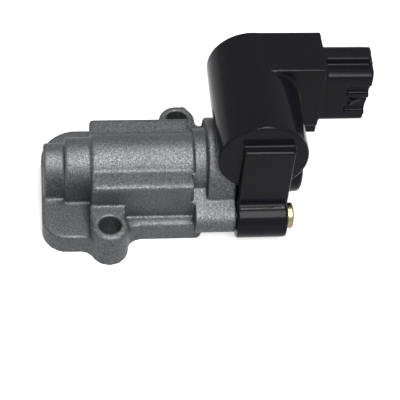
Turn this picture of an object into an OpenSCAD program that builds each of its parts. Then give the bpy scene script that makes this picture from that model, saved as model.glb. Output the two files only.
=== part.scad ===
// Idle air control valve: a cast body with a rotary valve, driven by a moulded-in solenoid.
// X runs along the valve bore towards the solenoid, Z leaves the mounting face.
// The origin lies on that face, midway between the two mounting holes. Millimetres.

/* [Mounting flange] */
// Distance between the mounting holes along the bore
hole_span_x = 23; // [20:0.5:26]
// Distance between the mounting holes across the bore
hole_span_y = 42.8; // [41:0.2:46]
// Radius of the mounting holes
hole_r = 3.3; // [2.7:0.1:3.5]
// Radius of the mounting bosses
lug_r = 5.7; // [5.2:0.1:6.5]
// Height of the mounting bosses
lug_h = 12.5; // [10:0.5:15]
// Thickness of the flange
flange_t = 7.2; // [6.5:0.1:9]
// Reach of the flange past the nose of the body
flange_left = -31.5; // [-34:0.5:-31.5]
// Reach of the flange towards the solenoid
flange_right = 17; // [16.5:0.5:18]
// Half width of the flange round the coolant slot
wide_half = 21.9; // [21.5:0.1:24]
// Half width of the flange round the air ports
narrow_half = 17.6; // [17.2:0.1:18]
// Corner radius of the wide end, camera side
near_corner_r = 8; // [5:0.5:9]
// Corner radius of the wide end, far side
far_corner_r = 11.5; // [5:0.5:12]
// Radius of the hollow fillets beside the bosses
hollow_r = 4; // [2:0.5:4.2]

/* [Cast body] */
// Height of the valve bore over the mounting face
axis_z = 15.3; // [15:0.1:17]
// Start of the main block
block_left = -16.6; // [-17:0.1:-16]
// End of the main block
block_right = 13.7; // [13:0.1:14]
// Half width of the main block
block_half = 14.3; // [13.8:0.1:15]
// Height of the ledges beside the barrel
ledge_z = 20.4; // [19:0.2:22]
// Radius of the main barrel
barrel_r = 9.2; // [9:0.1:10]
// Start of the middle step of the barrel
step_left = -24.5; // [-25:0.1:-23]
// Radius of the middle step
step_r = 8.3; // [7.6:0.1:8.8]
// Start of the nose
nose_left = -30.8; // [-31.2:0.1:-30.2]
// Radius of the nose
nose_r = 6.6; // [6.2:0.1:7.4]
// Radius of the neck in front of the ring
neck_r = 10.4; // [9.8:0.1:11.5]
// Start of the ring that carries the solenoid
ring_left = 17.5; // [17:0.1:18]
// Face where ring and solenoid meet
joint_x = 26.6; // [26.2:0.1:27.2]
// Radius of the ring
ring_r = 13.7; // [13:0.1:14]
// Half width between the flats of the ring
ring_flat = 12.3; // [12:0.1:13]
// Edge radius of the casting
cast_edge = 0.8; // [0.4:0.1:1]

/* [Passages] */
// Radius of the valve bore
bore_r = 6.2; // [5.8:0.05:6.3]
// Blind end of the valve bore
bore_left = -15.6; // [-16:0.1:-15]
// Outer radius of the tube wall round the bore
tube_r = 8.2; // [7.8:0.1:8.5]
// Thickness of the wall between the two air chambers
middle_wall = 4.4; // [4:0.1:5]
// Half width over both air chambers
chamber_half = 12.3; // [11:0.1:12.6]
// Start of the air chambers
chamber_left = -13.6; // [-13.8:0.1:-12]
// End of the air chambers
chamber_right = 11; // [9:0.1:11.5]
// Height of the air chambers
chamber_h = 18; // [16:0.2:18.5]
// Length of the windows into the bore
window_l = 12; // [8:0.5:14]
// Lowest angle of the windows below the bore axis
window_angle = 55; // [45:1:60]
// Length of the coolant slot
slot_l = 35.2; // [30:0.2:35.4]
// Width of the coolant slot
slot_w = 8.8; // [7:0.1:9]
// Depth of the coolant slot
slot_depth = 5; // [4:0.1:5.5]

/* [Gasket] */
// Width of the gasket bead
bead_w = 2.2; // [1.8:0.1:2.4]
// Height of the pressed gasket
bead_h = 1.8; // [1.4:0.1:2.2]
// Gap between the gasket and the mounting face
gasket_recess = 0.1; // [0.05:0.05:0.3]
// Clearance between the gasket and its groove
groove_gap = 0.15; // [0.05:0.05:0.2]
// Outer half width of the two air loops
air_loop_half = 15.8; // [15.2:0.1:16]
// Outer half width of the coolant loop
slot_loop_half = 20.3; // [20:0.1:20.5]
// Solenoid end of the air loops
loop_right = 15.2; // [14.5:0.1:15.4]
// Centre of the bead between coolant and air
shared_bead_x = -15.9; // [-16.2:0.1:-15.7]
// Nose end of the coolant loop
loop_left = -29.6; // [-29.9:0.1:-29.4]
// Outer corner radius of the air loops
loop_corner_r = 4; // [3:0.1:4.5]
// Outer corner radius of the coolant loop
slot_corner_r = 7.2; // [6.5:0.1:7.3]

/* [Shaft and valve] */
// Radius of the shaft
shaft_r = 2.5; // [2.2:0.1:2.6]
// Radius of the shaft at the rear bearing
journal_r = 2; // [1.7:0.1:2.1]
// End of the shaft beyond the magnet
shaft_right = 42.5; // [42:0.1:43.5]
// Running clearance of the rotary valve
valve_gap = 0.05; // [0.02:0.01:0.09]
// Wall left in the cut-away part of the rotary valve
valve_land = 6.5; // [5:0.1:7]
// Turn from the rest position to either stop, degrees
travel = 30; // [20:1:32]

/* [Bearings] */
// Outer radius of the rear bearing
rear_r = 4.5; // [4.2:0.1:4.6]
// Outer radius of the front bearing
front_r = 6.5; // [6.45:0.05:6.8]
// Width of both bearings
bearing_w = 4; // [3.5:0.1:4.2]
// Blind end of the rear bearing seat
rear_seat_x = -28; // [-28.4:0.1:-27.8]
// Shoulder of the front bearing seat
front_seat_x = 13.5; // [13.3:0.1:13.8]
// Clearance of the balls in their tracks
ball_gap = 0.04; // [0.02:0.01:0.08]

/* [Ring cavity] */
// Radius of the cavity in the ring
cavity_r = 10; // [9.8:0.1:10.4]
// Bottom of the cavity
cavity_left = 18.5; // [18.3:0.1:19]
// End of the collar round the shaft seal
collar_x = 20.5; // [20.3:0.1:21]
// Wall of the collar
collar_wall = 1.5; // [1.2:0.1:1.8]
// Thickness of the stop plate
plate_t = 1; // [0.8:0.1:1.2]
// Thickness of the stop lever
lever_t = 1.4; // [1.2:0.1:1.6]
// Width of the stop lever
lever_w = 3; // [2.4:0.1:3.6]
// Reach of the stop lever from the bore axis
lever_reach = 7.2; // [6.6:0.1:7.6]
// Clearance between turning and fixed pieces
turn_gap = 0.4; // [0.3:0.05:0.5]
// Width of the bimetal strip
strip_w = 2.4; // [2:0.1:2.6]
// Thickness of the bimetal strip
strip_t = 0.5; // [0.4:0.05:0.6]
// Turns of the bimetal strip
strip_turns = 3; // [2:1:3]

/* [Solenoid] */
// Place of the coil housing's axis along the bore
coil_x = 33.4; // [33:0.1:34]
// Height of the coil axis
coil_z = 31.3; // [31:0.1:32.5]
// Radius of the coil housing
coil_r = 13.4; // [13:0.1:14.2]
// Camera-side end of the coil housing
coil_near = -13.5; // [-13.9:0.1:-13.2]
// Far end of the coil housing and of the connector block
coil_far = 26.7; // [26:0.1:28]
// Middle of the arm, core and magnet along the bore
core_x = 34.5; // [34.3:0.1:34.8]
// Width of the arm and of the screw bosses
arm_w = 15; // [14.6:0.1:15.4]
// Front face of the arm
arm_y = -16.6; // [-17.5:0.1:-16.4]
// Top of the arm
arm_top = 37.2; // [36.8:0.1:38.5]
// Radius of the moulded screw bosses
moulded_boss_r = 6.5; // [6:0.1:6.9]
// Radius of the rotor chamber
chamber_r = 9.4; // [9:0.1:10.2]
// Closed end of the rotor chamber
chamber_end = 47.5; // [47.2:0.1:49]
// Bore round the magnet
rotor_bore_r = 5.7; // [5.6:0.05:5.9]
// Edge radius of the moulding
mould_edge = 0.6; // [0.3:0.1:0.8]
// Radius of the core rod
rod_r = 4; // [3.6:0.1:4.1]
// Thickness of the yokes
yoke_t = 3; // [2.6:0.1:3.1]
// Half height of the pole shoes
shoe_half = 4; // [3.5:0.1:4.2]
// Outer radius of the winding
winding_r = 7.3; // [6.6:0.1:7.5]
// Radius of the bobbin flanges
bobbin_r = 9; // [8.6:0.1:9.2]
// Thickness of the bobbin flanges
bobbin_flange_t = 1.2; // [1:0.1:1.4]
// Wall of the bobbin tube
bobbin_wall = 0.9; // [0.7:0.1:1]
// Radial thickness of the magnet
magnet_wall = 1.6; // [1.4:0.1:1.8]
// Length of the magnet, the yokes and the pole shoes
magnet_l = 12; // [11:0.1:12]
// Gap between the magnet and the pole shoes
air_gap = 0.5; // [0.4:0.05:0.6]
// Spigot of the moulding in the ring
spigot_l = 3; // [2.6:0.1:3.1]
// Radius of the well in the spigot
well_r = 8.2; // [7.9:0.1:8.4]
// Cord radius of the sealing ring
o_ring_r = 0.5; // [0.4:0.05:0.55]

/* [Connector] */
// Camera-side face of the connector block
block_near = 9.75; // [9:0.05:11]
// End of the connector block
block_end = 54; // [53.5:0.1:56]
// Bottom of the connector block
block_bottom = 20.3; // [19.5:0.1:21]
// Bottom of the rib under the connector block
rib_bottom = 16.6; // [15.5:0.1:18]
// Camera-side face of the shroud
shroud_near = 9.9; // [9.8:0.05:11]
// Far face of the shroud
shroud_far = 26; // [25:0.1:26.2]
// Bottom of the shroud
shroud_bottom = 22; // [21:0.1:23]
// Top of the shroud
shroud_top = 42; // [41:0.1:43]
// Mouth of the shroud
mouth_x = 69.7; // [66:0.1:72]
// Slant of the mouth, further out at the top, degrees
mouth_lean = 2.9; // [0:0.1:4]
// Slant of the mouth, further out on the far side, degrees
mouth_turn = 3.8; // [0:0.1:5]
// Wall of the shroud
shroud_wall = 1.8; // [1.4:0.1:2]
// Length of the latch recess in the shroud
latch_l = 8.7; // [8:0.1:9.5]
// Height of the latch recess
latch_h = 11; // [9:0.1:12]
// Length of the latch wedge
wedge_l = 3.8; // [3:0.1:4.2]
// Distance between the terminals
pin_pitch = 5.2; // [4:0.1:5.5]
// Thickness of a terminal
pin_t = 0.8; // [0.6:0.1:1]
// Width of a terminal
pin_w = 2.3; // [1.8:0.1:2.6]
// Length of the terminals in the socket
pin_reach = 8; // [6:0.5:9]

/* [Cover screws] */
// Distance of the screws from the bore axis, across
screw_y = 15.7; // [15.5:0.1:16]
// Height of the screws
screw_z = 8.1; // [8:0.1:8.6]
// Radius of the cast screw bosses
cast_boss_r = 4.7; // [4.4:0.1:5]
// Radius of the screw shanks
shank_r = 2; // [1.8:0.05:2.1]
// Length of the screw shanks
shank_l = 24; // [21:0.5:25]
// Radius of the screw heads
head_r = 3.95; // [3.6:0.05:4.2]
// Height of the screw heads
head_h = 2.3; // [1.9:0.1:2.6]
// Clearance round the shanks in the moulding
shank_gap = 0.2; // [0.1:0.05:0.3]

/* [Hidden] */
$fn = 72;

cut = 1;
span = 100;
seat_gap = 0.02;
mould_gap = 0.05;
hole_at = [-hole_span_x / 2, -hole_span_y / 2];
hollow_bite = 0.02;
corner_r = 2.5;
slot_x = (loop_left + shared_bead_x) / 2 + bead_w / 4;
groove_depth = bead_h + gasket_recess;
window_drop = bore_r * sin(window_angle);
window_top = 0.5;
relief = 0.6;
hub_wall = 1.2;
valve_end_gap = 0.3;
boss_gap = 0.15;
saddle_gap = 0.3;
arm_root = 2;
stop_margin = 3.5;
yoke_cover = 1.5;
block_drop = 0.15;
socket_floor = 2;
rib_start = 8;
arm_left = core_x - arm_w / 2;
arm_right = core_x + arm_w / 2;
wide_step_x = block_left - 0.4;
yoke_out = -arm_y - yoke_cover;
yoke_in = yoke_out - yoke_t;
yoke_top = arm_top - yoke_cover;
pole_left = core_x - magnet_l / 2;
pole_right = core_x + magnet_l / 2;
magnet_r = rotor_bore_r - air_gap;
end_wall = 2.5;
chamber_edge = 1.5;
sealing_t = 3;
hub_r = magnet_r - magnet_wall;
bobbin_end = yoke_in - 0.1;
spigot_r = cavity_r - 0.1;
seal_x = (joint_x - spigot_l + joint_x) / 2 + 0.1;
o_ring_mid = cavity_r - o_ring_r - 0.05;
plate_right = collar_x + plate_t;
lever_left = plate_right + turn_gap;
lever_right = lever_left + lever_t;
strip_left = lever_right + turn_gap;
strip_right = strip_left + strip_w;
strip_inner_r = shaft_r + hub_wall - 0.1;
seal_land = 0.8;
strip_pitch = (well_r - 0.6 - strip_t - strip_inner_r) / strip_turns;
rotor_left = front_seat_x - 0.6;
stop_w = 2.4;
stop_r = lever_reach - 2;
stop_turn = travel + atan2(lever_w / 2, stop_r) + atan2(stop_w / 2, stop_r) + stop_margin;
block_top = coil_z + coil_r - block_drop;
socket_x = block_end + socket_floor;
rib_left = coil_x + rib_start;
rib_inset = 0.8;
outer_near_r = 2.4;
outer_far_r = 5.5;
inner_near_r = 1.2;
inner_far_r = 4;
latch_floor = 0.6;
latch_depth = shroud_wall - latch_floor;
latch_step = 1.2;
bar_low = 0.6;
bar_h = 1.3;
wedge_start = 7.3;
wedge_low = -2.3;
wedge_h = 1.9;
wedge_rise = 0.8;
ridge_near = shroud_near + 5.1;
ridge_w = 5.2;
ridge_end = mouth_x - 1.4;
ridge_top = block_top - block_drop;
pin_root = 9;
recess_l = 4;
recess_w = 0.8;
recess_depth = 1.3;
head_edge = 0.7;
pin_y = (shroud_near + shroud_far) / 2;
pin_z = (shroud_bottom + shroud_top) / 2;
cast_grey = [0.62, 0.62, 0.63];
moulding_black = [0.09, 0.09, 0.11];
steel = [0.7, 0.71, 0.73];
rubber = [0.05, 0.05, 0.05];
copper = [0.72, 0.42, 0.22];

// Profile in Y and Z, drawn out along X
module along_x(x0, x1) {
    translate([x0, 0, 0]) rotate([90, 0, 90]) linear_extrude(x1 - x0) children();
}

module rod_x(r, x0, x1, y = 0, z = axis_z) {
    translate([x0, y, z]) rotate([0, 90, 0]) cylinder(r = r, h = x1 - x0);
}

module rod_y(r, y0, y1, x = core_x, z = coil_z) {
    translate([x, y1, z]) rotate([90, 0, 0]) cylinder(r = r, h = y1 - y0);
}

module tube_x(r_out, r_in, x0, x1) {
    difference() {
        rod_x(r_out, x0, x1);
        rod_x(r_in, x0 - cut, x1 + cut);
    }
}

// Rectangle between two corners with round corners
module rounded(a, b, r) {
    translate([a[0] + r, a[1]]) square([b[0] - a[0] - 2 * r, b[1] - a[1]]);
    translate([a[0], a[1] + r]) square([b[0] - a[0], b[1] - a[1] - 2 * r]);
    for (x = [a[0] + r, b[0] - r], y = [a[1] + r, b[1] - r])
        translate([x, y]) circle(r);
}

// Box between two corners with round edges, along X and upright
module soft_box(a, b, e) {
    intersection() {
        along_x(a[0], b[0]) rounded([a[1], a[2]], [b[1], b[2]], e);
        translate([0, 0, a[2]]) linear_extrude(b[2] - a[2]) rounded([a[0], a[1]], [b[0], b[1]], e);
    }
}

// Half outline of a cylinder of length l whose two end edges are round
module barrel_outline(r, l, e) {
    square([r - e, l]);
    translate([0, e]) square([r, l - 2 * e]);
    for (z = [e, l - e]) translate([r - e, z]) circle(e, $fn = 24);
}

module barrel_x(r, x0, x1, e, y = 0, z = axis_z) {
    translate([x0, y, z]) rotate([0, 90, 0]) rotate_extrude()
        intersection() {
            barrel_outline(r, x1 - x0, e);
            square([r, x1 - x0]);
        }
}

module barrel_y(r, y0, y1, e, x, z) {
    translate([x, y1, z]) rotate([90, 0, 0]) rotate_extrude()
        intersection() {
            barrel_outline(r, y1 - y0, e);
            square([r, y1 - y0]);
        }
}

// Barrel of the casting with straight walls down to the flange
module arch(r, x0, x1) {
    barrel_x(r, x0, x1, cast_edge);
    linear_extrude(axis_z) rounded([x0, -r], [x1, r], cast_edge);
}

module at_holes() {
    for (turn = [0, 180]) rotate(turn) translate(hole_at) children();
}

// Hollow fillet from the boss at hole_at to the straight flange edge at y
module boss_web(y, side) {
    centre_y = y - hollow_r;
    reach = lug_r + hollow_r - hollow_bite;
    centre_x = hole_at[0] + side * sqrt(reach * reach - pow(centre_y - hole_at[1], 2));
    difference() {
        polygon([hole_at, [centre_x, centre_y], [centre_x, y], [hole_at[0], 0]]);
        translate([centre_x, centre_y]) circle(hollow_r);
    }
}

module flange_outline() {
    intersection() {
        rounded([flange_left, -wide_half], [span, span], near_corner_r);
        rounded([flange_left, -span], [span, wide_half], far_corner_r);
        union() {
            translate([-span, -span]) square([span + wide_step_x, 2 * span]);
            translate([-span, -span]) square([span + hole_at[0], span]);
        }
    }
    rounded([block_left - 2 * corner_r, -narrow_half], [flange_right, narrow_half], corner_r);
    at_holes() circle(lug_r);
    boss_web(-wide_half, -1);
    for (turn = [0, 180]) rotate(turn) boss_web(-narrow_half, 1);
    difference() {
        translate([wide_step_x - cut, narrow_half - cut]) square(hollow_r + cut);
        translate([wide_step_x + hollow_r, narrow_half + hollow_r]) circle(hollow_r);
    }
}

module lugs() {
    at_holes() cylinder(r = lug_r, h = lug_h);
    for (turn = [0, 180]) rotate(turn)
        translate([hole_at[0] - lug_r, hole_at[1], 0])
            cube([2 * lug_r - cast_edge, -hole_at[1] - block_half + cut, lug_h]);
}

// Section of the ring with its flats and the webs down to the screw bosses
module ring_section() {
    intersection() {
        translate([0, axis_z]) circle(ring_r);
        translate([-ring_flat, 0]) square([2 * ring_flat, 2 * (axis_z + ring_r)]);
    }
    translate([-ring_flat, screw_z]) square([2 * ring_flat, axis_z - screw_z]);
}

module neck_gussets() {
    for (side = [-1, 1])
        polygon([
            [side * neck_r, axis_z],
            [side * screw_y, screw_z + cast_boss_r],
            [side * screw_y, screw_z],
            [0, screw_z],
            [0, axis_z]
        ]);
}

// The two air loops and the coolant loop, grown by g on both sides of the bead
module gasket_outline(g) {
    bead_half = bead_w / 2;
    inner_r = loop_corner_r - bead_w;
    shared_left = shared_bead_x - bead_half;
    shared_right = shared_bead_x + bead_half;
    difference() {
        union() {
            rounded([loop_left - g, -slot_loop_half - g],
                [shared_right + g, slot_loop_half + g], slot_corner_r + g);
            rounded([shared_left - g, -air_loop_half - g],
                [loop_right + g, air_loop_half + g], loop_corner_r + g);
            translate([shared_bead_x, -air_loop_half - g])
                square([2 * loop_corner_r, 2 * (air_loop_half + g)]);
        }
        rounded([loop_left + bead_w + g, -slot_loop_half + bead_w + g],
            [shared_left - g, slot_loop_half - bead_w - g], slot_corner_r - bead_w - g);
        for (turn = [1, -1]) scale([1, turn])
            rounded([shared_right + g, bead_half + g],
                [loop_right - bead_w - g, air_loop_half - bead_w - g], inner_r - g);
    }
}

module air_chambers() {
    for (side = [0, 1]) mirror([0, side, 0])
        difference() {
            along_x(chamber_left, chamber_right)
                translate([middle_wall / 2, -cut]) square([chamber_half - middle_wall / 2, chamber_h + cut]);
            rod_x(tube_r, chamber_left - cut, chamber_right + cut);
        }
}

// Openings from the air chambers into the valve bore
module windows() {
    for (side = [0, 1]) mirror([0, side, 0])
        translate([-window_l / 2, bore_r / 2, axis_z - window_drop])
            cube([window_l, chamber_half - bore_r / 2 - cut, window_drop - window_top]);
}

module coolant_slot() {
    translate([0, 0, -cut]) linear_extrude(slot_depth + cut)
        rounded([slot_x - slot_w / 2, -slot_l / 2], [slot_x + slot_w / 2, slot_l / 2], slot_w / 2 - 0.1);
}

module body_bores() {
    rod_x(rear_r + seat_gap, rear_seat_x, bore_left + cut);
    rod_x(rear_r - relief, rear_seat_x - relief, rear_seat_x + cut);
    rod_x(bore_r, bore_left, front_seat_x + cut);
    rod_x(front_r + seat_gap, front_seat_x, joint_x + cut);
    difference() {
        rod_x(cavity_r, cavity_left, joint_x + cut);
        rod_x(front_r + collar_wall, cavity_left - cut, collar_x);
    }
}

module valve_body() color(cast_grey) {
    difference() {
        union() {
            linear_extrude(flange_t) flange_outline();
            lugs();
            arch(nose_r, nose_left, step_left + cut);
            arch(step_r, step_left, block_left + cut);
            soft_box([block_left, -block_half, -cut], [block_right, block_half, ledge_z], cast_edge);
            barrel_x(barrel_r, block_left, block_right, cast_edge);
            rod_x(neck_r, block_right - cut, ring_left + cut);
            along_x(block_right - cut, ring_left + cut) neck_gussets();
            along_x(ring_left, joint_x) ring_section();
            for (side = [-1, 1]) rod_x(cast_boss_r, block_right - cut, joint_x, side * screw_y, screw_z);
        }
        translate([-span, -span, -span]) cube([2 * span, 2 * span, span]);
        at_holes() translate([0, 0, -cut]) cylinder(r = hole_r, h = lug_h + 2 * cut);
        body_bores();
        air_chambers();
        windows();
        coolant_slot();
        translate([0, 0, -cut]) linear_extrude(groove_depth + cut) gasket_outline(groove_gap);
        for (side = [-1, 1])
            rod_x(shank_r + seat_gap, arm_right - shank_l - cut, joint_x + cut, side * screw_y, screw_z);
    }
}

module mount_gasket() color(rubber) {
    translate([0, 0, gasket_recess]) linear_extrude(bead_h) gasket_outline(0);
}

// Solid drum, cut away over the windows so that half of it closes them when turned
module rotary_valve() color([0.78, 0.78, 0.8]) {
    difference() {
        union() {
            rod_x(bore_r - valve_gap, bore_left + valve_end_gap, rotor_left);
            rod_x(shaft_r + hub_wall, rotor_left - cut, front_seat_x);
        }
        rod_x(shaft_r + seat_gap, bore_left - cut, front_seat_x + cut);
        translate([0, 0, axis_z]) rotate([travel, 0, 0])
            translate([bore_left + valve_land, -bore_r, -bore_r - cut])
                difference() {
                    cube([rotor_left - bore_left - 2 * valve_land, 2 * bore_r, bore_r + cut]);
                    translate([-cut, bore_r, bore_r + cut]) rotate([0, 90, 0])
                        cylinder(r = shaft_r + hub_wall, h = span);
                }
    }
}

module valve_shaft() color(steel) {
    rod_x(journal_r, rear_seat_x, rear_seat_x + bearing_w + cut);
    rod_x(shaft_r, rear_seat_x + bearing_w, shaft_right);
}

// Race between r_in and r_out with a ball track of radius track_r on mid_r
module race(x0, r_in, r_out, mid_r, track_r) {
    translate([x0, 0, axis_z]) rotate([0, 90, 0]) rotate_extrude()
        difference() {
            translate([r_in, 0]) square([r_out - r_in, bearing_w]);
            translate([mid_r, bearing_w / 2]) circle(track_r);
        }
}

module bearing_outer(x0, r, bore) {
    gap = r - bore;
    race(x0, r - 0.3 * gap, r, (r + bore) / 2, 0.3 * gap + ball_gap);
}

module bearing_inner(x0, r, bore) {
    gap = r - bore;
    race(x0, bore + seat_gap, bore + 0.3 * gap, (r + bore) / 2, 0.3 * gap + ball_gap);
}

module bearing_balls(x0, r, bore, count) {
    for (i = [0:count - 1])
        translate([x0 + bearing_w / 2, 0, axis_z]) rotate([i * 360 / count, 0, 0])
            translate([0, 0, (r + bore) / 2]) sphere(0.3 * (r - bore));
}

module rear_bearing_outer() color(steel) {
    bearing_outer(rear_seat_x, rear_r, journal_r);
}

module rear_bearing_inner() color(steel) {
    bearing_inner(rear_seat_x, rear_r, journal_r);
}

module rear_bearing_balls() color(steel) {
    bearing_balls(rear_seat_x, rear_r, journal_r, 8);
}

module front_bearing_outer() color(steel) {
    bearing_outer(front_seat_x, front_r, shaft_r);
}

module front_bearing_inner() color(steel) {
    bearing_inner(front_seat_x, front_r, shaft_r);
}

module front_bearing_balls() color(steel) {
    bearing_balls(front_seat_x, front_r, shaft_r, 7);
}

module shaft_seal() color(rubber) {
    tube_x(front_r, shaft_r + valve_gap, front_seat_x + bearing_w + valve_end_gap, collar_x - valve_end_gap);
}

// Disc on the collar with two stop posts for the lever and a taller one for the bimetal strip
module stop_plate() color(steel) {
    tube_x(spigot_r, shaft_r + hub_wall + 0.3, collar_x, plate_right);
    for (side = [-1, 1])
        translate([0, 0, axis_z]) rotate([side * stop_turn, 0, 0])
            translate([plate_right - 0.1, -stop_w / 2, stop_r])
                cube([lever_t + turn_gap + 0.1, stop_w, stop_w]);
    translate([0, 0, axis_z]) rotate([180, 0, 0])
        translate([plate_right - 0.1, -stop_w - mould_gap, well_r - 1 - strip_t])
            cube([strip_right - plate_right + 0.1, stop_w, 1]);
}

module stop_lever() color(steel) {
    difference() {
        union() {
            rod_x(shaft_r + hub_wall, lever_left, lever_right);
            translate([lever_left, -lever_w / 2, axis_z]) cube([lever_t, lever_w, lever_reach]);
        }
        rod_x(shaft_r + seat_gap, lever_left - cut, lever_right + cut);
    }
}

// Point i of the bimetal spiral that starts below the axis at radius r
function spiral(i, r) = (r + strip_pitch * i / 24) * [cos(i * 15 - 90), sin(i * 15 - 90)];

// Spiral strip between the shaft and the well of the moulding
module bimetal_coil() color([0.66, 0.6, 0.5]) {
    steps = 24 * strip_turns;
    translate([0, 0, axis_z]) along_x(strip_left, strip_right)
        polygon(concat(
            [for (i = [0:steps]) spiral(i, strip_inner_r)],
            [for (i = [steps:-1:0]) spiral(i, strip_inner_r + strip_t)]
        ));
}

module magnet_hub() color([0.85, 0.83, 0.75]) {
    tube_x(hub_r, shaft_r + seat_gap, pole_left - 0.5, pole_right + 0.5);
}

module rotor_magnet() color([0.3, 0.3, 0.32]) {
    tube_x(magnet_r, hub_r + seat_gap, pole_left, pole_right);
}

module core_rod() color(steel) {
    rod_y(rod_r, -yoke_out, yoke_out);
}

// Yoke outline in Y and Z for the far side: plate beside the coil and shoe beside the magnet
module yoke_section(g) {
    difference() {
        union() {
            translate([yoke_in - g, axis_z - shoe_half - g])
                square([yoke_t + 2 * g, yoke_top - axis_z + shoe_half + 2 * g]);
            translate([0, axis_z - shoe_half - g]) square([yoke_in, 2 * (shoe_half + g)]);
        }
        translate([0, axis_z]) circle(rotor_bore_r);
    }
}

module yoke() color(steel) {
    difference() {
        along_x(pole_left, pole_right) yoke_section(0);
        rod_y(rod_r + seat_gap, yoke_in - cut, yoke_out + cut);
    }
}

module near_yoke() {
    mirror([0, 1, 0]) yoke();
}

module far_yoke() {
    yoke();
}

module coil_bobbin() color([0.85, 0.82, 0.72]) {
    tube_r_out = rod_r + mould_gap + bobbin_wall;
    difference() {
        union() {
            rod_y(tube_r_out, -bobbin_end, bobbin_end);
            for (side = [0, 1]) mirror([0, side, 0])
                rod_y(bobbin_r, bobbin_end - bobbin_flange_t, bobbin_end);
        }
        rod_y(rod_r + mould_gap, -bobbin_end - cut, bobbin_end + cut);
    }
}

module coil_winding() color(copper) {
    half = bobbin_end - bobbin_flange_t - mould_gap;
    difference() {
        rod_y(winding_r, -half, half);
        rod_y(rod_r + bobbin_wall + 2 * mould_gap, -half - cut, half + cut);
    }
}

module coil_housing() {
    difference() {
        union() {
            barrel_y(coil_r, coil_near, coil_far, mould_edge, coil_x, coil_z);
            soft_box([joint_x, -ring_flat, screw_z], [arm_right, ring_flat, coil_z], mould_edge);
            soft_box([arm_left, 0, screw_z], [arm_right, -arm_y, coil_z], mould_edge);
        }
        rod_x(ring_r + saddle_gap, coil_x - 2 * coil_r, joint_x);
    }
}

module connector_block() {
    soft_box([coil_x, block_near, block_bottom], [block_end, coil_far, block_top], mould_edge);
    soft_box([rib_left, block_near + rib_inset, rib_bottom],
        [block_end - mould_gap, coil_far - rib_inset, coil_z], mould_edge);
}

// Shroud section, closer corners on the camera side than on the far side
module shroud_section(g, near_r, far_r) {
    intersection() {
        rounded([shroud_near + g, shroud_bottom + g], [span, shroud_top - g], near_r);
        rounded([-span, shroud_bottom + g], [shroud_far - g, shroud_top - g], far_r);
    }
}

// All that lies beyond the slanted mouth
module mouth_cut() {
    translate([mouth_x, shroud_far, shroud_top]) rotate([0, mouth_lean, -mouth_turn])
        translate([0, -span / 2, -span / 2]) cube([cut + mouth_lean, span, span]);
}

// Pockets for the plug's latch above and below the bar across them
module latch_pockets() {
    for (pocket = [
        [latch_l, -latch_h / 2, wedge_low],
        [latch_l - latch_step, wedge_low - cut, bar_low],
        [latch_l, bar_low + bar_h, latch_h / 2]
    ])
        translate([mouth_x - pocket[0], shroud_near - cut, pin_z + pocket[1]])
            cube([pocket[0] + cut, cut + latch_depth, pocket[2] - pocket[1]]);
}

module shroud() {
    difference() {
        along_x(block_end - cut, mouth_x) shroud_section(0, outer_near_r, outer_far_r);
        along_x(socket_x, mouth_x + cut) shroud_section(shroud_wall, inner_near_r, inner_far_r);
        latch_pockets();
        mouth_cut();
    }
    translate([mouth_x - wedge_start, shroud_near, pin_z + wedge_low]) linear_extrude(wedge_h)
        polygon([
            [0, shroud_wall - latch_floor / 2],
            [0, -wedge_rise],
            [wedge_l, latch_depth],
            [wedge_l, shroud_wall - latch_floor / 2]
        ]);
    soft_box([block_end - cut, ridge_near, shroud_top - cut],
        [ridge_end, ridge_near + ridge_w, ridge_top], mould_edge);
}

module terminal(index, g) {
    translate([block_end - pin_root, pin_y - pin_t / 2 - g, pin_z + (index - 1) * pin_pitch - pin_w / 2 - g])
        cube([socket_x + pin_reach - block_end + pin_root, pin_t + 2 * g, pin_w + 2 * g]);
}

module cover_cavities() {
    rod_x(well_r, joint_x - spigot_l - cut, pole_left - 1);
    rod_x(rotor_bore_r, joint_x, chamber_end - end_wall);
    rod_y(rod_r + mould_gap, -yoke_out - mould_gap, yoke_out + mould_gap);
    rod_y(winding_r + mould_gap, -bobbin_end - mould_gap, bobbin_end + mould_gap);
    for (side = [0, 1]) mirror([0, side, 0]) {
        rod_y(bobbin_r + mould_gap, bobbin_end - bobbin_flange_t - mould_gap, yoke_in);
        along_x(pole_left - mould_gap, pole_right + mould_gap) yoke_section(mould_gap);
    }
    for (index = [0:2]) terminal(index, seat_gap);
    for (side = [-1, 1])
        rod_x(shank_r + shank_gap, arm_left - cut, arm_right + cut, side * screw_y, screw_z);
}

module coil_cover() color(moulding_black) {
    difference() {
        union() {
            coil_housing();
            soft_box([arm_left, arm_y, screw_z], [arm_right, -ring_flat + arm_root, arm_top], mould_edge);
            for (side = [-1, 1])
                barrel_x(moulded_boss_r, joint_x + boss_gap, arm_right, mould_edge, side * screw_y, screw_z);
            rod_x(ring_flat, joint_x, joint_x + sealing_t);
            barrel_x(chamber_r, joint_x, chamber_end, chamber_edge);
            rod_x(spigot_r, joint_x - spigot_l, joint_x + cut);
            connector_block();
            shroud();
        }
        cover_cavities();
        tube_x(spigot_r + cut, o_ring_mid - o_ring_r, seal_x - seal_land, seal_x + seal_land);
    }
}

module cover_o_ring() color(rubber) {
    translate([seal_x, 0, axis_z]) rotate([0, 90, 0]) rotate_extrude()
        translate([o_ring_mid, 0]) circle(o_ring_r);
}

// Pan head with a cross recess, shank towards the casting
module cover_screw(side) color([0.8, 0.68, 0.35]) {
    translate([arm_right, side * screw_y, screw_z]) rotate([0, 90, 0]) {
        difference() {
            rotate_extrude() intersection() {
                barrel_outline(head_r, head_h, head_edge);
                square([head_r, head_h]);
            }
            for (turn = [0, 90]) rotate(turn)
                translate([-recess_l / 2, -recess_w / 2, head_h - recess_depth])
                    cube([recess_l, recess_w, head_h]);
        }
        translate([0, 0, -shank_l]) cylinder(r = shank_r, h = shank_l + cut / 2);
    }
}

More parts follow.
